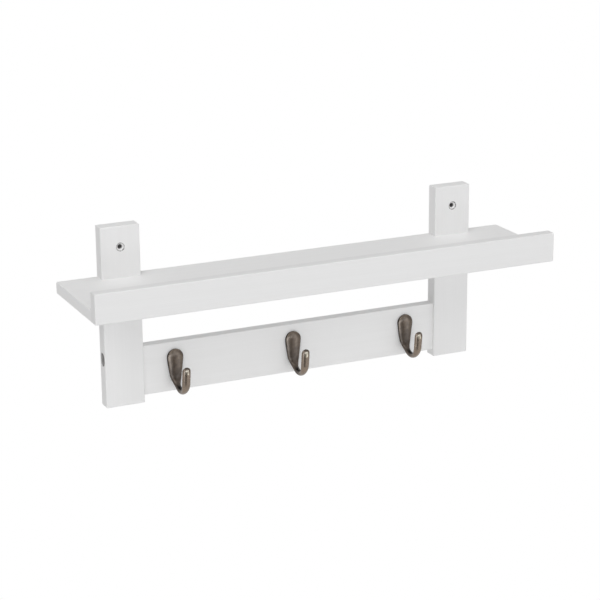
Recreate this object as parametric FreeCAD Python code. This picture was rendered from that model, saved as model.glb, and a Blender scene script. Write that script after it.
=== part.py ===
import FreeCAD, Part
import math
import os

# Wall rack: a lipped shelf and a rail of three hooks, carried by two uprights.
# Millimetres. The origin is midway between the two wall screw holes, in the plane of the
# wall. +X runs to the right seen from the front, +Y into the wall and +Z up.

# Boards
LENGTH = 500.0                # shelf and lip, end to end
BOARD = 12.0                  # thickness of the shelf, the lip and the rail
SHELF_DEPTH = 106.0           # from the wall to the back of the lip
LIP_HEIGHT = 30.5
UPRIGHT_WIDTH = 41.0
UPRIGHT_THICKNESS = 15.0
UPRIGHT_HEIGHT = 188.0
UPRIGHT_SPACING = 374.0       # between the uprights' centre lines
SHELF_ABOVE_FOOT = 123.0      # underside of the shelf above the foot of the uprights
RAIL_ABOVE_FOOT = 7.0
RAIL_HEIGHT = 52.5
HOUSING_DEPTH = 5.0           # groove across each upright's front that the shelf sits in
EDGE_RADIUS = 1.0             # eased edges of the boards

# Holes in the uprights
WALL_HOLE_BELOW_TOP = 21.5
WALL_HOLE_RADIUS = 2.25
WALL_SINK_RADIUS = 4.4        # mouth of the countersink
WALL_SINK_DEPTH = 2.3
SIDE_BORE_WIDTH = 11.5        # oval counterbore that hides the rail screw
SIDE_BORE_HEIGHT = 14.4
SIDE_BORE_DEPTH = 20.0
SIDE_BORE_BELOW_RAIL_TOP = 9.6

# Hooks
HOOK_PITCH = 132.0
HOOK_BELOW_RAIL_TOP = 7.5     # top of the hook's plate below the top of the rail
PLATE_RADIUS = 8.8            # round top of the teardrop plate
PLATE_SIDE_HALF_WIDTH = 7.8   # half way down its bulging sides
PLATE_FOOT_HALF_WIDTH = 6.3   # where the plate runs into the bend
PLATE_THICKNESS = 4.2         # along its middle
PLATE_AXIS = 1.3              # how far in front of the rail the plate is widest
PLATE_TOP_ROUNDING = 7.0      # how far down the plate's domed face is still rising
PLATE_TOP_ANGLES = (6, 20, 35, 50, 65, 80)   # sections in its round top
PLATE_SIDE_STEPS = 6
BEND_RADIUS = 14.4            # of the hook's centre line
BEND_DROP = 26.8              # centre of the bend below the plate's top
WAIST_HALF_WIDTH = 3.0        # narrowest part, round the bottom of the bend
WAIST_START, WAIST_END = 0.33, 0.62   # shares of the way round the bend
WAIST_SWELL = 0.9             # extra thickness on the waist's inner side
SWELL_GROWS = (0.05, 0.35)    # shares of the way round the bend
SWELL_FADES = (0.6, 1.0)
PRONG_HALF_WIDTH = 4.4
PRONG_HALF_THICKNESS = 2.6
PRONG_LEAN = 7.0              # degrees, outwards
PRONG_TOP = 10.5              # top of the prong below the plate's top
PRONG_TIP_TAPER = 8.5         # how far from its tip the prong starts to thin
BEND_STEPS = 12
PRONG_STEPS = 4
PRONG_TIP_ANGLES = (20, 40, 58, 72, 84)      # sections in the prong's round end
BOSS_RADIUS = 3.5             # round boss behind the plate, let into the rail
BOSS_LENGTH = 6.0
BOSS_DROP = 10.0
PIP_RADIUS = 1.5              # small pip that stops the hook from turning
PIP_LENGTH = 2.5
PIP_DROP = 22.0

# Fasteners
SCREW_RADIUS = 2.0
SCREW_HEAD_RADIUS = 4.0
SCREW_HEAD_HEIGHT = 2.3
SUNK_HEAD_RIM = 0.3           # straight part of a countersunk head
PAN_HEAD_FLAT_RADIUS = 2.8    # flat top of a pan head, inside its sloping shoulder
PAN_HEAD_SHOULDER = 0.9
RECESS_ACROSS = 4.4           # cross recess
RECESS_SLOT = 0.9
RECESS_DEPTH = 1.5
WOOD_POINT_LENGTH = 6.0
MACHINE_POINT_LENGTH = 0.5
POINT_TIP_RADIUS = 0.2
SHELF_SCREW_LENGTH = 40.0
SHELF_SCREW_OFFSET = 10.0     # each side of the upright's centre line
RAIL_SCREW_LENGTH = 45.0
HOOK_SCREW_LENGTH = 13.0
DOWEL_RADIUS = 3.0
DOWEL_CHAMFER = 0.8
RAIL_DOWEL_LENGTH = 30.0
RAIL_DOWEL_ABOVE_RAIL = 13.0
LIP_DOWEL_LENGTH = 24.0
LIP_DOWEL_IN_LIP = 8.0
LIP_DOWEL_XS = (-200.0, -100.0, 0.0, 100.0, 200.0)
DOWEL_HOLE_SPARE = 1.0        # room past each end of a dowel

# Levels worked out from the above
TOP = WALL_HOLE_BELOW_TOP
FOOT = TOP - UPRIGHT_HEIGHT
SHELF_BOTTOM = FOOT + SHELF_ABOVE_FOOT
SHELF_TOP = SHELF_BOTTOM + BOARD
SHELF_MIDDLE = SHELF_BOTTOM + BOARD / 2
RAIL_BOTTOM = FOOT + RAIL_ABOVE_FOOT
RAIL_TOP = RAIL_BOTTOM + RAIL_HEIGHT
RAIL_HALF_LENGTH = (UPRIGHT_SPACING - UPRIGHT_WIDTH) / 2
SIDE_BORE_Z = RAIL_TOP - SIDE_BORE_BELOW_RAIL_TOP
HOOK_TOP = RAIL_TOP - HOOK_BELOW_RAIL_TOP
TINY = 0.01

SIDES = {"left": -1, "right": 1}
HOOK_XS = {"left": -HOOK_PITCH, "centre": 0.0, "right": HOOK_PITCH}

V = FreeCAD.Vector


def box(xs, ys, zs):
    """A box from its low and high ends along each axis."""
    return Part.makeBox(xs[1] - xs[0], ys[1] - ys[0], zs[1] - zs[0], V(xs[0], ys[0], zs[0]))


def cylinder(radius, start, end):
    along = end - start
    return Part.makeCylinder(radius, along.Length, start, along)


def eased(solid, wanted=lambda point: True):
    """Rounds the edges whose middle point is wanted."""
    edges = [edge for edge in solid.Edges if wanted(edge.CenterOfMass)]
    return solid.makeFillet(EDGE_RADIUS, edges)


def turned(profile, start, direction):
    """A solid of revolution. The profile is (radius, distance along direction) pairs."""
    points = [V(radius, 0, along) for radius, along in profile]
    face = Part.Face(Part.makePolygon(points + points[:1]))
    solid = face.revolve(V(0, 0, 0), V(0, 0, 1), 360)
    solid.Placement = FreeCAD.Placement(start, FreeCAD.Rotation(V(0, 0, 1), direction))
    return solid


# Fasteners. A blank has no driver recess: the same blank cuts the hole that the screw fills.

def sunk_blank(start, direction, length, point):
    """Countersunk screw, from the middle of its flat head."""
    end_radius = max(POINT_TIP_RADIUS, SCREW_RADIUS - point)
    return turned([(0, 0), (SCREW_HEAD_RADIUS, 0), (SCREW_HEAD_RADIUS, SUNK_HEAD_RIM),
                   (SCREW_RADIUS, SCREW_HEAD_HEIGHT), (SCREW_RADIUS, length - point),
                   (end_radius, length), (0, length)], start, direction)


def pan_blank(start, direction, length, point):
    """Pan head screw, from the top of its head. Its length is measured under the head."""
    under = SCREW_HEAD_HEIGHT
    return turned([(0, 0), (PAN_HEAD_FLAT_RADIUS, 0), (SCREW_HEAD_RADIUS, PAN_HEAD_SHOULDER),
                   (SCREW_HEAD_RADIUS, under), (SCREW_RADIUS, under),
                   (SCREW_RADIUS, under + length - point), (POINT_TIP_RADIUS, under + length),
                   (0, under + length)], start, direction)


def recessed(blank, start, direction):
    """Cuts the cross recess in a screw's head."""
    bars = [(RECESS_ACROSS, RECESS_SLOT), (RECESS_SLOT, RECESS_ACROSS)]
    cross = [Part.makeBox(a, b, 2 * RECESS_DEPTH, V(-a / 2, -b / 2, -RECESS_DEPTH))
             for a, b in bars]
    recess = cross[0].fuse(cross[1])
    recess.Placement = FreeCAD.Placement(start, FreeCAD.Rotation(V(0, 0, 1), direction))
    return blank.cut(recess)


def dowel(start, end):
    length = (end - start).Length
    end_radius = DOWEL_RADIUS - DOWEL_CHAMFER
    return turned([(0, 0), (end_radius, 0), (DOWEL_RADIUS, DOWEL_CHAMFER),
                   (DOWEL_RADIUS, length - DOWEL_CHAMFER), (end_radius, length), (0, length)],
                  start, end - start)


def dowel_hole(start, end):
    spare = (end - start).normalize() * DOWEL_HOLE_SPARE
    return cylinder(DOWEL_RADIUS, start - spare, end + spare)


# Where each fastener sits

def shelf_screw_starts(side):
    middle = side * UPRIGHT_SPACING / 2
    return {"outer": V(middle + side * SHELF_SCREW_OFFSET, 0, SHELF_MIDDLE),
            "inner": V(middle - side * SHELF_SCREW_OFFSET, 0, SHELF_MIDDLE)}


def shelf_screw_blank(start):
    return sunk_blank(start, V(0, -1, 0), SHELF_SCREW_LENGTH, WOOD_POINT_LENGTH)


def rail_screw_start(side):
    """Top of the head, which stands up from the floor of the counterbore."""
    floor = UPRIGHT_SPACING / 2 + UPRIGHT_WIDTH / 2 - SIDE_BORE_DEPTH
    return V(side * (floor + SCREW_HEAD_HEIGHT), -UPRIGHT_THICKNESS / 2, SIDE_BORE_Z)


def rail_screw_blank(side):
    return pan_blank(rail_screw_start(side), V(-side, 0, 0), RAIL_SCREW_LENGTH,
                     WOOD_POINT_LENGTH)


def rail_dowel_ends(side):
    z = RAIL_BOTTOM + RAIL_DOWEL_ABOVE_RAIL
    half = RAIL_DOWEL_LENGTH / 2
    return [V(side * (RAIL_HALF_LENGTH + step), -BOARD / 2, z) for step in (-half, half)]


def lip_dowel_ends(x):
    front = -SHELF_DEPTH - LIP_DOWEL_IN_LIP
    return V(x, front, SHELF_MIDDLE), V(x, front + LIP_DOWEL_LENGTH, SHELF_MIDDLE)


def hook_screw_start(x):
    return V(x, 0, HOOK_TOP - BOSS_DROP)


def hook_screw_blank(x):
    return sunk_blank(hook_screw_start(x), V(0, -1, 0), HOOK_SCREW_LENGTH,
                      MACHINE_POINT_LENGTH)


def hook_boss(x):
    face = V(x, -BOARD, HOOK_TOP - BOSS_DROP)
    return cylinder(BOSS_RADIUS, face + V(0, BOSS_LENGTH, 0), face)


def hook_pip(x):
    face = V(x, -BOARD, HOOK_TOP - PIP_DROP)
    return cylinder(PIP_RADIUS, face + V(0, PIP_LENGTH, 0), face)


# Boards

def side_bore(side):
    """Oval counterbore in an upright's outer edge: two round ends and the box between them."""
    outside = V(side * (UPRIGHT_SPACING + UPRIGHT_WIDTH) / 2, -UPRIGHT_THICKNESS / 2, SIDE_BORE_Z)
    inside = outside - V(side * SIDE_BORE_DEPTH, 0, 0)
    radius = SIDE_BORE_WIDTH / 2
    rise = V(0, 0, SIDE_BORE_HEIGHT / 2 - radius)
    middle = box(sorted((inside.x, outside.x)), (outside.y - radius, outside.y + radius),
                 (outside.z - rise.z, outside.z + rise.z))
    ends = [cylinder(radius, outside + shift, inside + shift) for shift in (rise, -rise)]
    return middle.fuse(ends).removeSplitter()


def upright(side):
    middle = side * UPRIGHT_SPACING / 2
    across = (middle - UPRIGHT_WIDTH / 2, middle + UPRIGHT_WIDTH / 2)
    board = eased(box(across, (-UPRIGHT_THICKNESS, 0), (FOOT, TOP)))
    housing = box(across, (-UPRIGHT_THICKNESS, -UPRIGHT_THICKNESS + HOUSING_DEPTH),
                  (SHELF_BOTTOM, SHELF_TOP))
    front = V(middle, -UPRIGHT_THICKNESS, 0)
    wall_hole = cylinder(WALL_HOLE_RADIUS, front, V(middle, 0, 0))
    sink = Part.makeCone(WALL_SINK_RADIUS, WALL_HOLE_RADIUS, WALL_SINK_DEPTH, front, V(0, 1, 0))
    screws = [shelf_screw_blank(start) for start in shelf_screw_starts(side).values()]
    for tool in [housing, wall_hole, sink, side_bore(side), rail_screw_blank(side),
                 dowel_hole(*rail_dowel_ends(side))] + screws:
        board = board.cut(tool)
    return board


def shelf_board():
    board = box((-LENGTH / 2, LENGTH / 2), (-SHELF_DEPTH, 0), (SHELF_BOTTOM, SHELF_TOP))
    board = eased(board, lambda point: point.y > -SHELF_DEPTH + TINY)
    for side in SIDES.values():
        middle = side * UPRIGHT_SPACING / 2
        notch = box((middle - UPRIGHT_WIDTH / 2, middle + UPRIGHT_WIDTH / 2),
                    (-UPRIGHT_THICKNESS + HOUSING_DEPTH, 0), (SHELF_BOTTOM, SHELF_TOP))
        board = board.cut(notch)
        for start in shelf_screw_starts(side).values():
            board = board.cut(shelf_screw_blank(start))
    for x in LIP_DOWEL_XS:
        board = board.cut(dowel_hole(*lip_dowel_ends(x)))
    return board


def front_lip():
    top = SHELF_BOTTOM + LIP_HEIGHT
    board = box((-LENGTH / 2, LENGTH / 2), (-SHELF_DEPTH - BOARD, -SHELF_DEPTH),
                (SHELF_BOTTOM, top))
    board = eased(board, lambda point: point.y < -SHELF_DEPTH - TINY or point.z > top - TINY)
    for x in LIP_DOWEL_XS:
        board = board.cut(dowel_hole(*lip_dowel_ends(x)))
    return board


def hook_rail():
    board = box((-RAIL_HALF_LENGTH, RAIL_HALF_LENGTH), (-BOARD, 0), (RAIL_BOTTOM, RAIL_TOP))
    board = eased(board, lambda point: abs(point.x) < TINY)
    for side in SIDES.values():
        board = board.cut(rail_screw_blank(side)).cut(dowel_hole(*rail_dowel_ends(side)))
    for x in HOOK_XS.values():
        for tool in (hook_screw_blank(x), hook_boss(x), hook_pip(x)):
            board = board.cut(tool)
    return board


# Hooks. Sizes run down from the top of the plate and forwards from the face of the rail.

def place(x, forwards, down):
    return V(x, -BOARD - forwards, HOOK_TOP - down)


def eased_share(value, start, end):
    """How far value is from start to end, from 0 to 1, with a soft start and end."""
    share = min(1.0, max(0.0, (value - start) / (end - start)))
    return share * share * (3 - 2 * share)


def round_end(from_end, reach):
    """Share of the full size this near the end of something that rounds off over its reach."""
    return math.sqrt(1 - (1 - min(1.0, from_end / reach)) ** 2)


def plate_half_width(down):
    """Half width of the teardrop plate: a half circle, then bulging sides."""
    if down < PLATE_RADIUS:
        return math.sqrt(PLATE_RADIUS ** 2 - (PLATE_RADIUS - down) ** 2)
    share = (down - PLATE_RADIUS) / (BEND_DROP - PLATE_RADIUS)
    straight = PLATE_RADIUS + (PLATE_FOOT_HALF_WIDTH - PLATE_RADIUS) * share
    bulge = PLATE_SIDE_HALF_WIDTH - (PLATE_RADIUS + PLATE_FOOT_HALF_WIDTH) / 2
    return straight + bulge * 4 * share * (1 - share)


def bend_half_width(share):
    """Half width at this share of the way round the bend: it narrows, then flares."""
    narrowing = (PLATE_FOOT_HALF_WIDTH - WAIST_HALF_WIDTH) * eased_share(share, 0, WAIST_START)
    flare = (PRONG_HALF_WIDTH - WAIST_HALF_WIDTH) * eased_share(share, WAIST_END, 1)
    return PLATE_FOOT_HALF_WIDTH - narrowing + flare


# Each of these lists (forwards, down, heading, half width, half thickness, swell) for the oval
# sections of one stretch of the hook. The heading is the stretch's direction in degrees: 0 is
# down, 90 is forwards and 180 is up. The swell is extra thickness on the throat's side.

def plate_sections():
    """The ovals reach behind the face of the rail, where the plate is cut off flat."""
    half_strip = PLATE_THICKNESS / 2
    downs = [PLATE_RADIUS * (1 - math.cos(math.radians(angle))) for angle in PLATE_TOP_ANGLES]
    downs += [PLATE_RADIUS + (BEND_DROP - PLATE_RADIUS) * step / PLATE_SIDE_STEPS
              for step in range(1, PLATE_SIDE_STEPS)]
    sections = []
    for down in downs:
        axis = PLATE_AXIS + (half_strip - PLATE_AXIS) * eased_share(down, PLATE_RADIUS, BEND_DROP)
        thickness = (PLATE_THICKNESS - axis) * round_end(down, PLATE_TOP_ROUNDING)
        sections.append((axis, down, 0, plate_half_width(down), thickness, 0))
    return sections


def bend_sections():
    half_strip = PLATE_THICKNESS / 2
    sections = []
    for step in range(BEND_STEPS + 1):
        share = step / BEND_STEPS
        heading = (180 - PRONG_LEAN) * share
        turn = math.radians(heading)
        swell = WAIST_SWELL * eased_share(share, *SWELL_GROWS)
        swell *= 1 - eased_share(share, *SWELL_FADES)
        sections.append((half_strip + BEND_RADIUS * (1 - math.cos(turn)),
                         BEND_DROP + BEND_RADIUS * math.sin(turn), heading,
                         bend_half_width(share),
                         half_strip + (PRONG_HALF_THICKNESS - half_strip) * share, swell))
    return sections


def prong_sections():
    lean = math.radians(PRONG_LEAN)
    forwards = PLATE_THICKNESS / 2 + BEND_RADIUS * (1 + math.cos(lean))
    down = BEND_DROP + BEND_RADIUS * math.sin(lean)
    length = (down - PRONG_TOP) / math.cos(lean)
    straight = length - PRONG_HALF_WIDTH
    alongs = [straight * step / PRONG_STEPS for step in range(1, PRONG_STEPS + 1)]
    alongs += [straight + PRONG_HALF_WIDTH * math.sin(math.radians(angle))
               for angle in PRONG_TIP_ANGLES]
    return [(forwards + along * math.sin(lean), down - along * math.cos(lean), 180 - PRONG_LEAN,
             PRONG_HALF_WIDTH * round_end(length - along, PRONG_HALF_WIDTH),
             PRONG_HALF_THICKNESS * round_end(length - along, PRONG_TIP_TAPER), 0)
            for along in alongs]


def oval(x, forwards, down, heading, half_width, half_thickness, swell):
    turn = math.radians(heading)
    inwards = V(0, -math.cos(turn), math.sin(turn))
    centre = place(x, forwards, down) + inwards * swell / 2
    ellipse = Part.Ellipse(centre + V(half_width, 0, 0),
                           centre + inwards * (half_thickness + swell / 2), centre)
    return Part.Wire(ellipse.toShape())


def hook(x):
    sections = plate_sections() + bend_sections() + prong_sections()
    casting = Part.makeLoft([oval(x, *section) for section in sections], True)
    behind = box((x - 2 * PLATE_RADIUS, x + 2 * PLATE_RADIUS), (-BOARD, 0),
                 (RAIL_BOTTOM, RAIL_TOP))
    casting = casting.cut(behind).fuse([hook_boss(x), hook_pip(x)])
    return casting.cut(hook_screw_blank(x))


def build():
    """Every piece by the name of its node."""
    pieces = {"shelf_board": shelf_board(), "front_lip": front_lip(), "hook_rail": hook_rail()}
    for name, side in SIDES.items():
        pieces[name + "_upright"] = upright(side)
        pieces[name + "_rail_screw"] = recessed(rail_screw_blank(side), rail_screw_start(side),
                                                V(-side, 0, 0))
        pieces[name + "_rail_dowel"] = dowel(*rail_dowel_ends(side))
        for place_name, start in shelf_screw_starts(side).items():
            pieces[name + "_" + place_name + "_shelf_screw"] = recessed(
                shelf_screw_blank(start), start, V(0, -1, 0))
    for name, x in HOOK_XS.items():
        pieces[name + "_hook"] = hook(x)
        pieces[name + "_hook_screw"] = recessed(hook_screw_blank(x), hook_screw_start(x),
                                                V(0, -1, 0))
    for number, x in enumerate(LIP_DOWEL_XS, start=1):
        pieces["lip_dowel_" + str(number)] = dowel(*lip_dowel_ends(x))
    return pieces


os.makedirs("parts", exist_ok=True)
for name, shape in build().items():
    shape.exportStep("parts/" + name + ".step")
    print(name, shape.isValid(), len(shape.Solids), round(shape.Volume, 1))
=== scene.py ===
import math
from collections import namedtuple

import bmesh
import bpy
from mathutils import Matrix, Vector


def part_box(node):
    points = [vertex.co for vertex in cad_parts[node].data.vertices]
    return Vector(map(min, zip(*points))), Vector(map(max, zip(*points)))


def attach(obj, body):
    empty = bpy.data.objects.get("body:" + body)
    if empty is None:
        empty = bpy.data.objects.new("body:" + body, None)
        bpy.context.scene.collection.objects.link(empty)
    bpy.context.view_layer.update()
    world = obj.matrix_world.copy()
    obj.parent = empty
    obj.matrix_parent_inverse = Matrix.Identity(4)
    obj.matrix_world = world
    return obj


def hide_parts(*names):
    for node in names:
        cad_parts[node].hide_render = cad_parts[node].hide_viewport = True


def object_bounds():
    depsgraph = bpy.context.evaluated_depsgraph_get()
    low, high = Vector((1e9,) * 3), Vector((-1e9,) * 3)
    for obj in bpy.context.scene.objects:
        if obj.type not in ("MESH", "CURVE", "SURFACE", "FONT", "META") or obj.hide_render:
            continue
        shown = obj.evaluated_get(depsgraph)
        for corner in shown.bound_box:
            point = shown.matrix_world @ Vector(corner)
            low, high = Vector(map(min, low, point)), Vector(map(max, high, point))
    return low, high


# White wall rack. The boards are the CAD frame's own, with painted materials, and the hooks
# and fasteners are replaced by more detailed ones in the same places.

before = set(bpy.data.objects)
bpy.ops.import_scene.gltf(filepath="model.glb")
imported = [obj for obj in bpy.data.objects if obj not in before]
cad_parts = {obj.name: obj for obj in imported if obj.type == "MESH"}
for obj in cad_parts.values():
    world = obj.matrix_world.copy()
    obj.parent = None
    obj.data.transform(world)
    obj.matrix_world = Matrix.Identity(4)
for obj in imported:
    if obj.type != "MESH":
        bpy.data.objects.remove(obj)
cad_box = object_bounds()

MM = 0.001

# Camera: how far round, how high, how far away, and the point aimed at
VIEW_AZIMUTH = -24.67
VIEW_ELEVATION = 16.99
VIEW_ROLL = -0.46
VIEW_DISTANCE = 2.0
AIM_BELOW_ORIGIN = 66.5 * MM
AIM_TO_THE_RIGHT = 13.17 * MM      # along the picture's width
AIM_DOWN = 16.92 * MM              # along the picture's height
LENS = 115.08                      # focal length in millimetres
NEAREST_SEEN, FARTHEST_SEEN = 0.05, 50

# Wall holes, in the middle of each upright, and the oval bores in the uprights' outer edges
WALL_HOLE_RADIUS = 2.25 * MM
WALL_SINK_RADIUS = 4.4 * MM
DARK_RING_RADIUS = WALL_SINK_RADIUS - 0.3 * MM     # middle of the dark ring at the countersink's mouth
SIDE_BORE_HALF_HEIGHT = 7.2 * MM
SIDE_BORE_DEPTH = 20 * MM
SIDE_BORE_BELOW_RAIL_TOP = 9.6 * MM

NOISE_RANGE = (0.3, 0.7)           # where nearly all values of a noise texture lie
GRAIN_X, GRAIN_Z = 0, 2            # axis along which a board's grain runs

# Colours. The bronze goes from patina and painted shade in its recesses to its high spots and a
# painted highlight.
# painted shade: near black inside the wall holes
WALL_HOLE_PAINTED_SHADE = (0.025, 0.022, 0.019, 1)
# dark broken ring round each countersink's mouth
DARK_RING_COLOUR = (0.06, 0.057, 0.053, 1)
# painted shade, grey, on the walls and floors of the side bores
SIDE_BORE_PAINTED_SHADE = (0.46, 0.455, 0.45, 1)
# patina and painted shade, on the plate's rim and inside the bend
BRONZE_PATINA_AND_SHADE = (0.020, 0.016, 0.013, 1)
BRONZE_BROWN = (0.15, 0.12, 0.098, 1)
BRONZE_RUBBED = (0.29, 0.228, 0.176, 1)
# painted highlight below the prong's tip
BRONZE_PAINTED_HIGHLIGHT = (0.60, 0.53, 0.42, 1)
BRONZE_SPECK = (0.05, 0.04, 0.032, 1)
ZINC_BLUE, ZINC_YELLOW = (0.52, 0.545, 0.58, 1), (0.64, 0.62, 0.55, 1)
BEECH_DARK, BEECH_LIGHT = (0.46, 0.29, 0.165, 1), (0.62, 0.42, 0.255, 1)
BEECH_FLECK = (0.27, 0.15, 0.08, 1)

# Hook, in millimetres: down from the top of its plate, forwards from the face of the rail
PLATE_RADIUS = 8.8
PLATE_SIDE_HALF_WIDTH = 7.8        # half way down the bulging sides
PLATE_FOOT_HALF_WIDTH = 6.3
PLATE_THICKNESS = 4.2
PLATE_RIM = 1.7                    # how far forwards the plate is widest
PLATE_TOP_ROUNDING = 7.0           # how far down the plate's face is still rising
PLATE_DOME = 0.6                   # how far the plate's face is an arc and not an oval
RIM_RISE_STEP = 4                  # sections down the plate's sides before its rim moves out
DOME_FADE_STEP = 3                 # and before its face starts to turn oval
BEND_RADIUS = 14.4
BEND_DROP = 26.8
WAIST_HALF_WIDTH = 3.0
WAIST_START, WAIST_END = 0.33, 0.62
WAIST_SWELL = 0.9                  # extra thickness on the waist's inner side
SWELL_RISE, SWELL_FALL = (0.05, 0.35), (0.6, 1)        # shares of the bend
SQUARE_BACK = (0, 0.12)            # share of the bend over which the back turns round
PRONG_HALF_WIDTH = 4.4
PRONG_HALF_THICKNESS = 2.6
PRONG_LEAN = 7.0
PRONG_TOP = 10.5
PRONG_TIP_TAPER = 8.5              # how far from its tip the prong starts to thin
BOSS_RADIUS = 3.5
BOSS_LENGTH = 6.0
BOSS_DROP = 10.0
BOSS_BORE = 2.0
BOSS_BORE_END = 1.0                # how far behind the face of the rail its screw hole ends
BOSS_BORE_POINT = 0.6              # and how far behind it the drilled point of that hole is
PIP_RADIUS = 1.5
PIP_LENGTH = 2.5
PIP_DROP = 22.0
PIN_CHAMFER = 0.3                  # on the boss and the pip
PIN_ROOT = 0.3                     # how far they start inside the casting
PIN_MIDDLE = 0.05                  # radius of the ring that closes their ends
RING_POINTS = 40
FLAT_BACK_POWER = 9.0              # squareness of a section's back: 2 is an ellipse
ROUND_POWER = 2.15

# Sections along the hook, and the angles of the first and last of them on its round ends
PLATE_TOP_STEPS = 11
PLATE_SIDE_STEPS = 11
BEND_STEPS = 24
PRONG_STEPS = 6
TIP_STEPS = 9
FIRST_ANGLE, LAST_ANGLE = 2.5, 88

# Wear and painted light of the hook's faces, from 0 in a dark recess with patina and painted shade
# to 1 on the painted highlight, and where they change
# the plate is painted lighter at its top and darker at its foot, for how the light falls on it
PLATE_TOP_WEAR_AND_LIGHT = 0.64
FOOT_WEAR_AND_SHADE = 0.38
PRONG_WEAR = 0.75
GRIP_PAINTED_HIGHLIGHT = 1.0                    # painted highlight below the tip
TIP_PAST_HIGHLIGHT = 0.4
MOST_SIDE_HIGHLIGHT = 0.75              # cap on the painted highlight towards the sides of any section
BEND_WEARS = (0.45, 0.9)           # shares of the bend
GRIP_HIGHLIGHT_RISE, TIP_HIGHLIGHT_FALL = (0.4, 0.7), (0.86, 0.96)       # shares of the prong
SIDE_HIGHLIGHT_FADE = (0.3, 0.65)           # shares of the half width
# Share of it that patina and painted shade take back, and where
RIM_PATINA_AND_SHADE = 0.95
RIM_LEVELS = (0.48, 0.62)          # shares of the thickness, from the rail's side
PLATE_HEADINGS = (0, 60)           # degrees round the bend over which that stops
BEND_PATINA_AND_SHADE = 0.9
BEND_DARKENS, BEND_LIGHTENS = (45, 70), (105, 150)     # degrees round the bend
THROAT_FACING = (0.3, 0.8)         # from a section's sides to the middle of its inner face

HOOKS = ("left", "centre", "right")

# Fasteners, in millimetres
SHANK_RADIUS = 2.0
THREAD_DEPTH = 0.55
THREAD_CREST_SHARE = 0.5           # share of each turn that the crest's two flanks take up
WOOD_THREAD_PITCH = 1.8
MACHINE_THREAD_PITCH = 0.7
NECK_RADIUS = SHANK_RADIUS - THREAD_DEPTH / 2
HEAD_RADIUS = 4.0
HEAD_HEIGHT = 2.3
HEAD_EDGE = 0.12
HEAD_MIDDLE = 0.02                 # share of the head's width that its first ring has
SUNK_HEAD_BAND = 0.3               # straight band round a countersunk head
PAN_FLAT_RADIUS = 2.8
PAN_ROUNDING = ((0.36, 0.3), (0.08, 0.75), (0, 1.1))   # in from the rim, and down from the top
RECESS_ACROSS = 4.4
RECESS_SLOT = 0.9
RECESS_DEPTH = 1.5
RECESS_LEVEL = 0.88                # how far out from the middle its arms keep their depth
RECESS_EDGE = 0.08
POINT_LENGTH = 6.0
POINT_SHARE = 0.03                 # share of the shank's radius that is left at the point
BLUNT_LENGTH = 0.5
SCREW_POINTS = 64
HEAD_RINGS = 14
RINGS_PER_TURN = 6
DOWEL_RADIUS = 3.0
DOWEL_CHAMFER = 0.8
DOWEL_FLUTES = 20
DOWEL_FLUTE_DEPTH = 0.18
FLUTE_POINTS = 8                   # points round each flute
SHARP_ANGLE = 38                   # degrees between faces whose edge is shaded as sharp

# Lights: azimuth and elevation of each seen from the rack, its width, height and power
LIGHTS = {"key": (-47, 38, 3.2, 3.2, 90), "front": (-4, 4, 3.2, 3.2, 45),
          "right": (70, 12, 2.8, 2.8, 50), "top": (0, 82, 3.6, 3.6, 60)}
UNREFLECTED = ("front", "right")
# Cards that show only in reflections, in the same terms, and their cool colour
CARDS = {"left_card": (-28, -13, 2.2, 2.6, 34), "wide_card": (12, -5, 6.8, 1.1, 24),
         "streak_card": (40, -20, 1.2, 1.4, 4.8), "upper_card": (16, 18, 2.6, 1.2, 8)}
CARD_COLOUR = (0.88, 0.98, 1.1)
# Dark panel that makes a streak in the reflections: azimuth, elevation, width, height
FLAG = (-2, -28, 3.0, 2.0)
FLAG_GLOW = 0.03
LIGHT_DISTANCE = 5.2
SURROUNDING_GLOWS = (0.86, 0.4)        # brightness of the surroundings, below and above
SURROUNDING_EDGES = (-0.5, -0.2)       # sines of the elevations between which they change
FLOOR_BELOW = 2.0
FLOOR_HALF_WIDTH = 10.0
BACKDROP_REACH = 12.0                  # from the rack to each wall of the box round it all
BACKDROP_EDGES = (1.0, 7.0)            # heights between which its walls fade
BACKDROP_GLOWS = (1.0, 0.6)


def add_object(name, data):
    made = bpy.data.objects.new(name, data)
    bpy.context.scene.collection.objects.link(made)
    return made


def aim_camera():
    """Camera to the left of the rack and above it, aimed a little right of and below the
    middle of the wall holes."""
    azimuth, elevation = math.radians(VIEW_AZIMUTH), math.radians(VIEW_ELEVATION)
    back = Vector((math.sin(azimuth) * math.cos(elevation),
                   -math.cos(azimuth) * math.cos(elevation), math.sin(elevation)))
    right = Vector((math.cos(azimuth), math.sin(azimuth), 0))
    up = back.cross(right)
    aim = right * AIM_TO_THE_RIGHT - Vector((0, 0, AIM_BELOW_ORIGIN)) - up * AIM_DOWN
    data = bpy.data.cameras.new("camera")
    data.lens = LENS
    data.clip_start, data.clip_end = NEAREST_SEEN, FARTHEST_SEEN
    camera = add_object("camera", data)
    turned = Matrix.Rotation(math.radians(VIEW_ROLL), 3, back)
    axes = Matrix((turned @ right, turned @ up, back)).transposed()
    camera.matrix_world = axes.to_4x4()
    camera.location = aim + back * VIEW_DISTANCE
    bpy.context.scene.camera = camera


aim_camera()


# Materials

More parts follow.
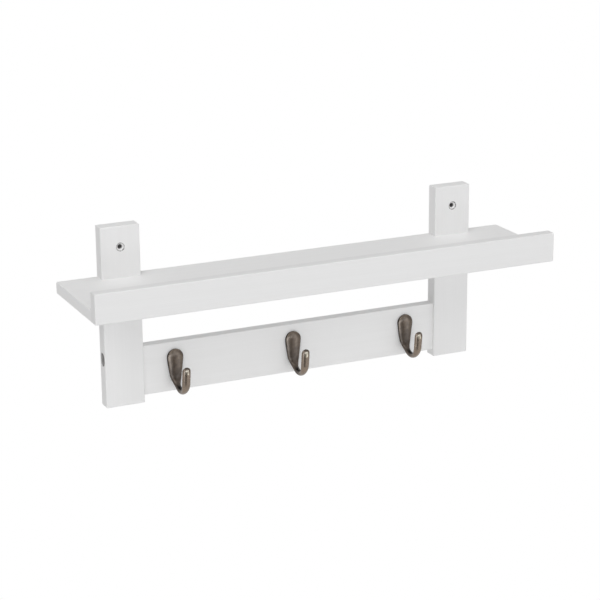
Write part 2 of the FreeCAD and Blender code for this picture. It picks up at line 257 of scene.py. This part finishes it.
class Material:
    """A node material under construction, with a Principled shader and object coordinates."""

    def __init__(self, name):
        self.data = bpy.data.materials.new(name)
        self.data.use_nodes = True
        self.tree = self.data.node_tree
        self.tree.nodes.clear()
        self.shader = self.node("BsdfPrincipled")
        self.link(self.shader.outputs["BSDF"], self.node("OutputMaterial").inputs["Surface"])
        self.place = self.node("TexCoord").outputs["Object"]

    def node(self, kind, **inputs):
        made = self.tree.nodes.new("ShaderNode" + kind)
        for name, value in inputs.items():
            self.feed(made.inputs[name.replace("_", " ")], value)
        return made

    def feed(self, socket, value):
        if isinstance(value, bpy.types.NodeSocket):
            self.link(value, socket)
        else:
            socket.default_value = value

    def link(self, output, socket):
        self.tree.links.new(output, socket)

    def noise(self, scale, detail, stretch=(1, 1, 1), roughness=0.5):
        """Noise with this many features to the metre, drawn out along an axis where its
        stretch is under 1."""
        moved = self.node("Mapping", Vector=self.place, Scale=stretch)
        return self.node("TexNoise", Vector=moved.outputs[0], Scale=scale, Detail=detail,
                         Roughness=roughness).outputs["Fac"]

    def math(self, operation, a, b=0.0, clamp=False):
        made = self.tree.nodes.new("ShaderNodeMath")
        made.operation = operation
        made.use_clamp = clamp
        self.feed(made.inputs[0], a)
        self.feed(made.inputs[1], b)
        return made.outputs[0]

    def times(self, a, b):
        return self.math("MULTIPLY", a, b)

    def less(self, a, b):
        return self.math("SUBTRACT", a, b)

    def spread(self, value, source, target=(0.0, 1.0)):
        """Value from the source range to the target range, clamped."""
        return self.node("MapRange", Value=value, From_Min=source[0], From_Max=source[1],
                         To_Min=target[0], To_Max=target[1]).outputs["Result"]

    def inside(self, value, limit, edge):
        """1 below the limit, and 0 from an edge past it."""
        return self.spread(value, (limit, limit + edge), (1.0, 0.0))

    def reach(self, a, b):
        """Distance from the origin of a point with these two coordinates."""
        return self.math("SQRT", self.math("ADD", self.times(a, a), self.times(b, b)))

    def mix(self, share, a, b):
        """Colour a where share is 0 and colour b where it is 1."""
        made = self.tree.nodes.new("ShaderNodeMix")
        made.data_type = "RGBA"
        self.feed(made.inputs["Factor"], share)
        for socket, value in zip([s for s in made.inputs if s.type == "RGBA"], (a, b)):
            self.feed(socket, value)
        return [s for s in made.outputs if s.type == "RGBA"][0]

    def mix_number(self, share, a, b):
        made = self.tree.nodes.new("ShaderNodeMix")
        made.data_type = "FLOAT"
        self.feed(made.inputs["Factor"], share)
        self.feed(made.inputs["A"], a)
        self.feed(made.inputs["B"], b)
        return made.outputs["Result"]

    def set(self, **inputs):
        for name, value in inputs.items():
            self.feed(self.shader.inputs[name.replace("_", " ")], value)

    def bump(self, height, distance, strength, normal=None):
        made = self.node("Bump", Height=height, Distance=distance, Strength=strength)
        if normal is not None:
            self.link(normal, made.inputs["Normal"])
        self.link(made.outputs["Normal"], self.shader.inputs["Normal"])
        return made.outputs["Normal"]


def grey(value, warmth):
    return (value, value * (1 - warmth), value * (1 - 2 * warmth), 1)


def drawn_out(axis, share):
    stretch = [1.0, 1.0, 1.0]
    stretch[axis] = share
    return stretch


def wood_figure(paint, grain_axis):
    """Height of the wood that shows through paint: grain along the board, pores at its ends."""
    fine = paint.noise(1100, detail=5, stretch=drawn_out(grain_axis, 0.02), roughness=0.6)
    broad = paint.noise(170, detail=3, stretch=drawn_out(grain_axis, 0.01), roughness=0.55)
    pores = paint.noise(900, detail=4, roughness=0.65)
    normal = paint.node("SeparateXYZ", Vector=paint.node("NewGeometry").outputs["Normal"])
    facing = paint.math("ABSOLUTE", normal.outputs["XYZ"[grain_axis]])
    at_end = paint.spread(facing, (0.75, 0.95))
    return paint.mix_number(at_end, paint.mix_number(0.45, fine, broad), pores)


def hole_shade_and_ring_masks(paint):
    """Masks of the painted shade in the wall holes, of the broken dark ring at their countersinks'
    mouths, and of the painted shade on the walls and floors of the bores in the uprights' outer
    edges."""
    low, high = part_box("right_upright")
    middle = (low + high) / 2
    bore_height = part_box("hook_rail")[1].z - SIDE_BORE_BELOW_RAIL_TOP
    place = paint.node("SeparateXYZ", Vector=paint.place)
    out = paint.math("ABSOLUTE", place.outputs["X"])

    from_hole = paint.reach(paint.less(out, middle.x), place.outputs["Z"])
    in_hole_shade = paint.inside(from_hole, WALL_HOLE_RADIUS - 0.05 * MM, 0.17 * MM)

    from_ring = paint.math("ABSOLUTE", paint.less(from_hole, DARK_RING_RADIUS))
    on_ring = paint.inside(from_ring, 0.3 * MM, 0.15 * MM)
    breaks = paint.spread(paint.noise(420, detail=2), (0.4, 0.6), (0.4, 1.0))
    in_front = paint.inside(place.outputs["Y"], middle.y, MM)
    on_ring = paint.times(paint.times(on_ring, breaks), in_front)

    from_bore = paint.reach(paint.less(place.outputs["Y"], middle.y),
                            paint.less(place.outputs["Z"], bore_height))
    inwards = paint.less(high.x, out)
    past_mouth = paint.spread(inwards, (0.5 * MM, 1.0 * MM))
    in_depth = paint.times(past_mouth, paint.inside(inwards, SIDE_BORE_DEPTH, MM))
    in_bore_shade = paint.times(paint.inside(from_bore, SIDE_BORE_HALF_HEIGHT + 0.1 * MM, 0.05 * MM),
                          in_depth)
    return in_hole_shade, on_ring, in_bore_shade


def painted_wood(name, grain_axis, shade):
    """Satin white paint over wood: the grain just shows along the board, and pores at its
    ends. The holes get painted shade. The shade factor is painted light: it makes this board's
    paint lighter or darker for how the light falls on it."""
    paint = Material(name)
    figure = wood_figure(paint, grain_axis)
    cloud = paint.noise(11, detail=2)
    roller = paint.noise(1500, detail=2)
    in_hole_shade, on_ring, in_bore_shade = hole_shade_and_ring_masks(paint)
    tone = paint.mix(paint.spread(figure, NOISE_RANGE),
                     grey(0.835 * shade, warmth=0.003), grey(0.868 * shade, warmth=0.001))
    tone = paint.mix(paint.spread(cloud, NOISE_RANGE, (0.0, 0.35)),
                     tone, grey(0.845 * shade, warmth=0.002))
    # painted shade inside the wall holes
    tone = paint.mix(in_hole_shade, tone, WALL_HOLE_PAINTED_SHADE)
    # dark broken ring round each countersink's mouth
    tone = paint.mix(on_ring, tone, DARK_RING_COLOUR)
    # painted shade inside the side bores
    tone = paint.mix(in_bore_shade, tone, SIDE_BORE_PAINTED_SHADE)
    uneven = paint.mix_number(0.5, cloud, roller)
    paint.set(Base_Color=tone, Specular_IOR_Level=0.4,
              Roughness=paint.spread(uneven, NOISE_RANGE, (0.40, 0.52)))
    smooth = paint.bump(roller, distance=0.04 * MM, strength=0.25)
    paint.bump(figure, distance=0.12 * MM, strength=0.10, normal=smooth)
    return paint.data


def antique_bronze():
    """Dark patina under thin lacquer, rubbed back to lighter metal on the high spots. Painted
    shade darkens the plate's rim and the inside of the bend with the patina, the plate is
    painted lighter at its top, and a painted highlight lies below the prong's tip. The piece's
    own attribute says where, for rubbing and painted light alike: 0 is a recess, 1 the painted
    highlight."""
    metal = Material("antique_bronze")
    wear = metal.node("Attribute")
    wear.attribute_name = "wear"
    blotches = metal.noise(260, detail=4)
    specks = metal.noise(2400, detail=3)
    uneven_wear = metal.spread(blotches, NOISE_RANGE, (-0.12, 0.12))
    worn_and_lit = metal.math("ADD", wear.outputs["Fac"], uneven_wear, clamp=True)
    tone = metal.mix(metal.spread(worn_and_lit, (0.0, 0.45)), BRONZE_PATINA_AND_SHADE, BRONZE_BROWN)
    tone = metal.mix(metal.spread(worn_and_lit, (0.45, 0.85)), tone, BRONZE_RUBBED)
    # painted highlight below the prong's tip
    tone = metal.mix(metal.spread(worn_and_lit, (0.85, 1.0)), tone, BRONZE_PAINTED_HIGHLIGHT)
    tone = metal.mix(metal.spread(specks, (0.62, 0.75), (0.0, 0.3)), tone, BRONZE_SPECK)
    texture = metal.mix_number(0.5, blotches, specks)
    roughness = metal.math("ADD", metal.spread(worn_and_lit, (0.4, 1.0), (0.4, 0.2)),
                           metal.spread(texture, NOISE_RANGE, (-0.04, 0.04)))
    metal.set(Base_Color=tone, Metallic=1.0, Coat_Weight=0.3, Coat_Roughness=0.2,
              Roughness=roughness)
    metal.bump(metal.mix_number(0.4, blotches, specks), distance=0.04 * MM, strength=0.2)
    return metal.data


def zinc_plating():
    """Bright zinc: a cloudy, slightly blue and yellow passivated film with fine scratches."""
    metal = Material("zinc_plating")
    film = metal.noise(420, detail=3)
    scratches = metal.noise(3200, detail=2, stretch=(1, 0.08, 1))
    metal.set(Base_Color=metal.mix(metal.spread(film, (0.35, 0.65)), ZINC_BLUE, ZINC_YELLOW),
              Metallic=1.0, Roughness=metal.spread(scratches, NOISE_RANGE, (0.24, 0.42)))
    metal.bump(scratches, distance=0.03 * MM, strength=0.3)
    return metal.data


def bare_beech():
    """Pink-brown beech with short dark flecks."""
    wood = Material("bare_beech")
    figure = wood.noise(500, detail=4, stretch=(0.06, 1, 1))
    flecks = wood.noise(2600, detail=2, stretch=(0.12, 1, 1))
    tone = wood.mix(wood.spread(figure, NOISE_RANGE), BEECH_DARK, BEECH_LIGHT)
    tone = wood.mix(wood.spread(flecks, (0.58, 0.7), (0.0, 0.6)), tone, BEECH_FLECK)
    wood.set(Base_Color=tone, Roughness=wood.spread(figure, NOISE_RANGE, (0.6, 0.78)))
    wood.bump(flecks, distance=0.08 * MM, strength=0.35)
    return wood.data


# each board's shade factor is painted light: its paint is made lighter or darker for how the light
# falls on that board
MATERIALS = {"shelf": painted_wood("painted_shelf", GRAIN_X, shade=1.02),
             "lip": painted_wood("painted_lip", GRAIN_X, shade=0.95),
             "rail": painted_wood("painted_rail", GRAIN_X, shade=1.035),
             "upright": painted_wood("painted_upright", GRAIN_Z, shade=1.0),
             "bronze": antique_bronze(), "zinc": zinc_plating(), "beech": bare_beech()}
BOARDS = {"shelf_board": "shelf", "front_lip": "lip", "hook_rail": "rail",
          "left_upright": "upright", "right_upright": "upright"}

for node, material in BOARDS.items():
    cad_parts[node].data.materials.clear()
    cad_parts[node].data.materials.append(MATERIALS[material])


# Mesh helpers

def new_piece(name, points, faces, material, node):
    """A smooth mesh piece that rides on the rack and stands for a CAD node."""
    mesh = bpy.data.meshes.new(name)
    mesh.from_pydata(points, [], faces)
    mesh.validate()
    piece = add_object(name, mesh)
    shell = bmesh.new()
    shell.from_mesh(mesh)
    bmesh.ops.recalc_face_normals(shell, faces=shell.faces)
    shell.to_mesh(mesh)
    shell.free()
    mesh.polygons.foreach_set("use_smooth", [True] * len(mesh.polygons))
    mesh.materials.append(MATERIALS[material])
    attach(piece, "root")
    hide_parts(node)
    return piece


def skin(rings, first=0):
    """Faces between rings of equally many points that close on themselves, capped at both
    ends. The rings' points are numbered from first."""
    count = len(rings[0])
    faces = []
    for i in range(len(rings) - 1):
        low, high = first + i * count, first + (i + 1) * count
        for j in range(count):
            k = (j + 1) % count
            faces.append((low + j, low + k, high + k, high + j))
    faces.append(tuple(range(first + count - 1, first - 1, -1)))
    last = first + (len(rings) - 1) * count
    faces.append(tuple(range(last, last + count)))
    return faces


def around(points):
    """Angles of evenly spaced points round a circle."""
    return [2 * math.pi * step / points for step in range(points)]


def eased(value, start, end):
    """Smooth step: 0 up to start and 1 from end on."""
    share = min(1.0, max(0.0, (value - start) / (end - start)))
    return share * share * (3 - 2 * share)


# Hooks

# A cross section: where its middle is, how many degrees of the bend lie behind it, its half
# width, its thickness towards the throat and away from it, how square its back is, its wear
# and painted light, and how far its inner side is a plain arc and not an oval
Station = namedtuple("Station",
                     "forwards down heading half_width inner outer back_power wear dome")


def plate_half_width(down):
    """Half width of the teardrop: a half circle, then bulging sides."""
    if down < PLATE_RADIUS:
        return math.sqrt(PLATE_RADIUS ** 2 - (PLATE_RADIUS - down) ** 2)
    share = (down - PLATE_RADIUS) / (BEND_DROP - PLATE_RADIUS)
    straight = PLATE_RADIUS + (PLATE_FOOT_HALF_WIDTH - PLATE_RADIUS) * share
    bulge = PLATE_SIDE_HALF_WIDTH - (PLATE_RADIUS + PLATE_FOOT_HALF_WIDTH) / 2
    return straight + bulge * 4 * share * (1 - share)


def bend_half_width(share):
    """Half width round the bend: the plate's foot narrows to the waist and flares again."""
    narrowing = (PLATE_FOOT_HALF_WIDTH - WAIST_HALF_WIDTH) * eased(share, 0, WAIST_START)
    flare = (PRONG_HALF_WIDTH - WAIST_HALF_WIDTH) * eased(share, WAIST_END, 1)
    return PLATE_FOOT_HALF_WIDTH - narrowing + flare


def round_end(from_end, reach):
    """Share of the full size left this near the end of something that rounds off over reach."""
    return math.sqrt(1 - (1 - min(1.0, from_end / reach)) ** 2)


def plate_stations():
    """The plate's round top, then its sides, where its rim comes level with its middle."""
    stations = []
    for step in range(PLATE_TOP_STEPS + 1):
        angle = math.radians(FIRST_ANGLE + (90 - FIRST_ANGLE) * step / PLATE_TOP_STEPS)
        down = PLATE_RADIUS * (1 - math.cos(angle))
        face = (PLATE_THICKNESS - PLATE_RIM) * round_end(down, PLATE_TOP_ROUNDING)
        stations.append(Station(PLATE_RIM, down, 0, plate_half_width(down), face, PLATE_RIM,
                                FLAT_BACK_POWER, PLATE_TOP_WEAR_AND_LIGHT, PLATE_DOME))
    for step in range(1, PLATE_SIDE_STEPS):
        down = PLATE_RADIUS + (BEND_DROP - PLATE_RADIUS) * step / PLATE_SIDE_STEPS
        rising = eased(step, RIM_RISE_STEP, PLATE_SIDE_STEPS)
        rim = PLATE_RIM + (PLATE_THICKNESS / 2 - PLATE_RIM) * rising
        # painted light: lighter at the plate's top, darker towards its foot
        wear = PLATE_TOP_WEAR_AND_LIGHT + (FOOT_WEAR_AND_SHADE - PLATE_TOP_WEAR_AND_LIGHT) * step / PLATE_SIDE_STEPS
        dome = PLATE_DOME * (1 - eased(step, DOME_FADE_STEP, PLATE_SIDE_STEPS))
        stations.append(Station(rim, down, 0, plate_half_width(down), PLATE_THICKNESS - rim, rim,
                                FLAT_BACK_POWER, wear, dome))
    return stations


def bend_stations():
    """Round the bend, from the plate's foot to the start of the straight prong."""
    stations = []
    strip = PLATE_THICKNESS / 2
    middle = strip + BEND_RADIUS
    for step in range(BEND_STEPS + 1):
        share = step / BEND_STEPS
        heading = (180 - PRONG_LEAN) * share
        turn = math.radians(heading)
        half = strip + (PRONG_HALF_THICKNESS - strip) * share
        swell = WAIST_SWELL * eased(share, *SWELL_RISE) * (1 - eased(share, *SWELL_FALL))
        rounding = eased(share, *SQUARE_BACK)
        back_power = FLAT_BACK_POWER + (ROUND_POWER - FLAT_BACK_POWER) * rounding
        wear = FOOT_WEAR_AND_SHADE + (PRONG_WEAR - FOOT_WEAR_AND_SHADE) * eased(share, *BEND_WEARS)
        stations.append(Station(middle - BEND_RADIUS * math.cos(turn),
                                BEND_DROP + BEND_RADIUS * math.sin(turn), heading,
                                bend_half_width(share), half + swell, half, back_power, wear, 0))
    return stations


def prong_stations():
    """Up the leaning prong, and over its round tip."""
    stations = []
    lean = math.radians(PRONG_LEAN)
    forwards = PLATE_THICKNESS / 2 + BEND_RADIUS + BEND_RADIUS * math.cos(lean)
    down = BEND_DROP + BEND_RADIUS * math.sin(lean)
    length = (down - PRONG_TOP) / math.cos(lean)
    straight = length - PRONG_HALF_WIDTH
    runs = [straight * step / PRONG_STEPS for step in range(1, PRONG_STEPS + 1)]
    runs += [straight + PRONG_HALF_WIDTH * math.sin(math.radians(LAST_ANGLE * step / TIP_STEPS))
             for step in range(1, TIP_STEPS + 1)]
    for along in runs:
        half_width = PRONG_HALF_WIDTH * round_end(length - along, PRONG_HALF_WIDTH)
        half = PRONG_HALF_THICKNESS * round_end(length - along, PRONG_TIP_TAPER)
        # painted highlight below the tip, fading again at the tip itself
        wear = (PRONG_WEAR + (GRIP_PAINTED_HIGHLIGHT - PRONG_WEAR) * eased(along / length, *GRIP_HIGHLIGHT_RISE)
                + (TIP_PAST_HIGHLIGHT - GRIP_PAINTED_HIGHLIGHT) * eased(along / length, *TIP_HIGHLIGHT_FALL))
        stations.append(Station(forwards + along * math.sin(lean), down - along * math.cos(lean),
                                180 - PRONG_LEAN, half_width, half, half, ROUND_POWER, wear, 0))
    return stations


def power(value, exponent):
    return math.copysign(abs(value) ** exponent, value)


def section_point(station, up, side):
    """One point of a section, as its distance across and its distance towards the throat."""
    half_width, inner = station.half_width, station.inner
    if up <= 0:
        exponent = 2 / station.back_power
        return half_width * power(side, exponent), station.outer * power(up, exponent)
    exponent = 2 / ROUND_POWER
    across, offset = half_width * power(side, exponent), inner * power(up, exponent)
    radius = (half_width ** 2 + inner ** 2) / (2 * inner)
    arc = math.sqrt(max(0.0, radius ** 2 - (half_width * side) ** 2)) - (radius - inner)
    return (across + (half_width * side - across) * station.dome,
            offset + (arc - offset) * station.dome)


def wear_and_light_at(station, up, side, offset):
    """Wear and painted light of one point of a section. Patina and painted shade are left on
    the plate's edge, behind where it is widest, and inside the bottom of the bend, and the
    painted highlight is held down towards a section's sides."""
    level = (offset + station.outer) / (station.inner + station.outer)
    on_rim = (1 - eased(station.heading, *PLATE_HEADINGS)) * (1 - eased(level, *RIM_LEVELS))
    # patina and painted shade on the plate's rim
    wear = station.wear * (1 - RIM_PATINA_AND_SHADE * on_rim)
    # painted highlight held down towards a section's sides
    wear = min(wear, 1 - (1 - MOST_SIDE_HIGHLIGHT) * eased(abs(side), *SIDE_HIGHLIGHT_FADE))
    # patina and painted shade inside the bottom of the bend
    in_bend = eased(station.heading, *BEND_DARKENS) * (1 - eased(station.heading, *BEND_LIGHTENS))
    return wear * (1 - BEND_PATINA_AND_SHADE * in_bend * eased(up, *THROAT_FACING))


def hook_ring(station):
    """One section as points of across, forwards, down, and their rubbing and painted light."""
    turn = math.radians(station.heading)
    ring = []
    for angle in around(RING_POINTS):
        up, side = math.sin(angle), math.cos(angle)
        across, offset = section_point(station, up, side)
        ring.append((across, station.forwards + math.cos(turn) * offset,
                     station.down - math.sin(turn) * offset,
                     wear_and_light_at(station, up, side, offset)))
    return ring


def pin_rings(profile, drop):
    """Rings about a line into the rail, from (radius, forwards) pairs, with no wear."""
    return [[(radius * math.cos(angle), forwards, drop + radius * math.sin(angle), 0.0)
             for angle in around(RING_POINTS)] for radius, forwards in profile]


def pin(radius, length):
    """Profile of a chamfered pin behind the plate, from inside the casting to its end."""
    return [(radius, PIN_ROOT), (radius, PIN_CHAMFER - length), (radius - PIN_CHAMFER, -length)]


def hook_parts():
    """The hook's casting, the boss that its screw holds and the pip that stops it turning."""
    stations = plate_stations() + bend_stations() + prong_stations()
    boss = pin(BOSS_RADIUS, BOSS_LENGTH) + [(BOSS_BORE, -BOSS_LENGTH), (BOSS_BORE, -BOSS_BORE_END),
                                            (PIN_MIDDLE, -BOSS_BORE_POINT)]
    pip = pin(PIP_RADIUS, PIP_LENGTH) + [(PIN_MIDDLE, -PIP_LENGTH)]
    return ([hook_ring(station) for station in stations],
            pin_rings(boss, BOSS_DROP), pin_rings(pip, PIP_DROP))


def make_hook(name):
    """A swept casting with its boss and pip, put where the CAD hook is."""
    low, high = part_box(name)
    x = (low.x + high.x) / 2
    rail_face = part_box("hook_rail")[0].y
    points, faces, wear_and_light_values = [], [], []
    for rings in hook_parts():
        faces += skin(rings, len(points))
        for ring in rings:
            for across, forwards, down, wear in ring:
                points.append((x + across * MM, rail_face - forwards * MM, high.z - down * MM))
                wear_and_light_values.append(wear)
    piece = new_piece(name + "_casting", points, faces, "bronze", name)
    attribute = piece.data.attributes.new("wear", "FLOAT", "POINT")
    attribute.data.foreach_set("value", wear_and_light_values)
    smoother = piece.modifiers.new("smooth", "SUBSURF")
    smoother.levels = smoother.render_levels = 1


for name in HOOKS:
    make_hook(name + "_hook")


# Fasteners: rings about an axis from the head's end, as lists of (radius, angle, along)

def recess_depth(radius, angle):
    """Depth of the cross recess here: it tapers to nothing at the ends of its arms."""
    across = min(abs(radius * math.sin(angle)), abs(radius * math.cos(angle)))
    along = max(abs(radius * math.sin(angle)), abs(radius * math.cos(angle)))
    in_arm = 1 - eased(across, RECESS_SLOT / 2 - RECESS_EDGE, RECESS_SLOT / 2 + RECESS_EDGE)
    return RECESS_DEPTH * in_arm * (1 - eased(along, RECESS_LEVEL, RECESS_ACROSS / 2))


def head_rings(pan):
    """Head with a cross recess: its top, its side, and its underside in to the neck."""
    flat = PAN_FLAT_RADIUS if pan else HEAD_RADIUS - HEAD_EDGE
    shares = [HEAD_MIDDLE] + [step / HEAD_RINGS for step in range(1, HEAD_RINGS + 1)]
    top = [[(flat * share, angle, recess_depth(flat * share, angle))
            for angle in around(SCREW_POINTS)] for share in shares]
    if pan:
        side = [(HEAD_RADIUS - inwards, along) for inwards, along in PAN_ROUNDING]
        side += [(HEAD_RADIUS, HEAD_HEIGHT - HEAD_EDGE), (HEAD_RADIUS - HEAD_EDGE, HEAD_HEIGHT)]
    else:
        side = [(HEAD_RADIUS, HEAD_EDGE), (HEAD_RADIUS, SUNK_HEAD_BAND)]
    side.append((NECK_RADIUS, HEAD_HEIGHT))
    return top + [[(radius, angle, along) for angle in around(SCREW_POINTS)]
                  for radius, along in side]


def thread_rings(length, pitch, point):
    """Plain neck that runs into a single helical thread, and thins over its point."""
    rings = []
    neck = HEAD_HEIGHT + pitch
    steps = int((length - neck) / pitch * RINGS_PER_TURN)
    for step in range(steps + 1):
        along = neck + (length - neck) * step / steps
        taper = POINT_SHARE + (1 - POINT_SHARE) * min(1.0, (length - along) / point)
        starting = eased(along, neck, neck + pitch)
        ring = []
        for angle in around(SCREW_POINTS):
            turn = (along / pitch - angle / (2 * math.pi)) % 1
            crest = max(0.0, 1 - abs(2 * turn - 1) / THREAD_CREST_SHARE)
            radius = (SHANK_RADIUS - THREAD_DEPTH * (1 - crest * starting)) * taper
            ring.append((radius, angle, along))
        rings.append(ring)
    return rings


def screw_rings(node, length):
    """Wood screws, and machine screws in the hooks. The rail's screws have pan heads, and the
    others are countersunk."""
    pan = "rail" in node
    if "hook" in node:
        return head_rings(pan) + thread_rings(length, MACHINE_THREAD_PITCH, BLUNT_LENGTH)
    return head_rings(pan) + thread_rings(length, WOOD_THREAD_PITCH, POINT_LENGTH)


def dowel_rings(length):
    """Chamfered ends, and shallow flutes pressed along the sides."""
    rings = []
    for along, radius in ((0, DOWEL_RADIUS - DOWEL_CHAMFER), (DOWEL_CHAMFER, DOWEL_RADIUS),
                          (length - DOWEL_CHAMFER, DOWEL_RADIUS),
                          (length, DOWEL_RADIUS - DOWEL_CHAMFER)):
        ring = []
        for angle in around(DOWEL_FLUTES * FLUTE_POINTS):
            flute = DOWEL_FLUTE_DEPTH * abs(math.sin(DOWEL_FLUTES * angle / 2))
            ring.append((radius - flute, angle, along))
        rings.append(ring)
    return rings


def make_fastener(node):
    """A screw or dowel in place of its CAD node, along the node's longest side. A screw's
    head is at its back end, or at its outer end where it lies along the rack."""
    low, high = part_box(node)
    size = high - low
    axis = max(range(3), key=lambda i: size[i])
    middle = (low + high) / 2
    head_is_high = axis != 0 or middle.x > 0
    head_end, inwards = (high[axis], -1) if head_is_high else (low[axis], 1)
    length = size[axis] / MM
    if "dowel" in node:
        rings, material, slot = dowel_rings(length), "beech", "beech_dowel"
    else:
        rings, material, slot = screw_rings(node, length), "zinc", "zinc_plated_steel"
    across, up = [i for i in range(3) if i != axis]
    points = []
    for ring in rings:
        for radius, angle, along in ring:
            point = [0.0, 0.0, 0.0]
            point[axis] = head_end + inwards * along * MM
            point[across] = middle[across] + radius * math.cos(angle) * MM
            point[up] = middle[up] + radius * math.sin(angle) * MM
            points.append(point)
    piece = new_piece(node + "_detail", points, skin(rings), material, node)
    piece.data.set_sharp_from_angle(angle=math.radians(SHARP_ANGLE))


for node in list(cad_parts):
    if node.endswith("screw") or "dowel" in node:
        make_fastener(node)


# Studio

def face_rack(thing, azimuth, elevation):
    """Puts a light or a panel round the rack, with its -Z side to the rack."""
    turn, lift = math.radians(azimuth), math.radians(elevation)
    away = Vector((math.sin(turn) * math.cos(lift), -math.cos(turn) * math.cos(lift),
                   math.sin(lift)))
    thing.location = (cad_box[0] + cad_box[1]) / 2 + away * LIGHT_DISTANCE
    thing.rotation_euler = away.to_track_quat("Z", "Y").to_euler()


def fade(tree, coordinate, edges, glows):
    """Smooth change from the first glow to the second between two values of Z."""
    parts = tree.nodes.new("ShaderNodeSeparateXYZ")
    tree.links.new(tree.nodes.new("ShaderNodeTexCoord").outputs[coordinate], parts.inputs[0])
    level = tree.nodes.new("ShaderNodeMapRange")
    level.interpolation_type = "SMOOTHSTEP"
    for name, number in zip(("From Min", "From Max", "To Min", "To Max"), edges + glows):
        level.inputs[name].default_value = number
    tree.links.new(parts.outputs["Z"], level.inputs["Value"])
    return level.outputs["Result"]


def screen(name, points, faces, glow):
    """A glowing surface, which is no part of the rack and lights nothing that is matt."""
    mesh = bpy.data.meshes.new(name)
    mesh.from_pydata(points, [], faces)
    made = add_object(name, mesh)
    colour = bpy.data.materials.new(name)
    colour.use_nodes = True
    tree = colour.node_tree
    tree.nodes.clear()
    emission = tree.nodes.new("ShaderNodeEmission")
    emission.inputs["Strength"].default_value = glow
    output = tree.nodes.new("ShaderNodeOutputMaterial")
    tree.links.new(emission.outputs[0], output.inputs["Surface"])
    mesh.materials.append(colour)
    made.visible_diffuse = False
    made.visible_shadow = False
    return made


def panel(name, half_width, half_height, glow):
    """A flat screen about its own middle."""
    corners = [(-half_width, -half_height, 0), (half_width, -half_height, 0),
               (half_width, half_height, 0), (-half_width, half_height, 0)]
    return screen(name, corners, [(0, 1, 2, 3)], glow)


def backdrop():
    """Closes the view behind the floor: a box that is as pale as the floor where they meet."""
    ends = (-BACKDROP_REACH, BACKDROP_REACH)
    corners = [(x, y, z) for x in ends for y in ends for z in ends]
    sides = [(0, 1, 3, 2), (4, 6, 7, 5), (0, 4, 5, 1), (2, 3, 7, 6), (0, 2, 6, 4), (1, 5, 7, 3)]
    made = screen("backdrop", corners, sides, 1.0)
    tree = made.data.materials[0].node_tree
    emission = next(node for node in tree.nodes if node.type == "EMISSION")
    tree.links.new(fade(tree, "Object", BACKDROP_EDGES, BACKDROP_GLOWS),
                   emission.inputs["Strength"])
    made.visible_glossy = False


def add_lights():
    for name, (azimuth, elevation, width, height, strength) in {**LIGHTS, **CARDS}.items():
        data = bpy.data.lights.new(name, "AREA")
        data.shape = "RECTANGLE"
        data.size, data.size_y = width, height
        data.energy = strength
        light = add_object(name, data)
        face_rack(light, azimuth, elevation)
        light.visible_camera = False
        light.visible_glossy = name not in UNREFLECTED
        if name in CARDS:
            light.visible_diffuse = False
            data.color = CARD_COLOUR


def add_surroundings():
    """The world's own glow, the floor, the dark flag and the backdrop."""
    world = bpy.data.worlds.new("studio")
    bpy.context.scene.world = world
    world.use_nodes = True
    background = world.node_tree.nodes["Background"]
    glow = fade(world.node_tree, "Generated", SURROUNDING_EDGES, SURROUNDING_GLOWS)
    world.node_tree.links.new(glow, background.inputs["Color"])
    floor = panel("floor", FLOOR_HALF_WIDTH, FLOOR_HALF_WIDTH, 1.0)
    floor.location.z = cad_box[0].z - FLOOR_BELOW
    floor.visible_glossy = False
    azimuth, elevation, width, height = FLAG
    flag = panel("flag", width / 2, height / 2, FLAG_GLOW)
    face_rack(flag, azimuth, elevation)
    flag.visible_camera = False
    backdrop()


bpy.context.scene.view_settings.view_transform = "Standard"
add_lights()
add_surroundings()
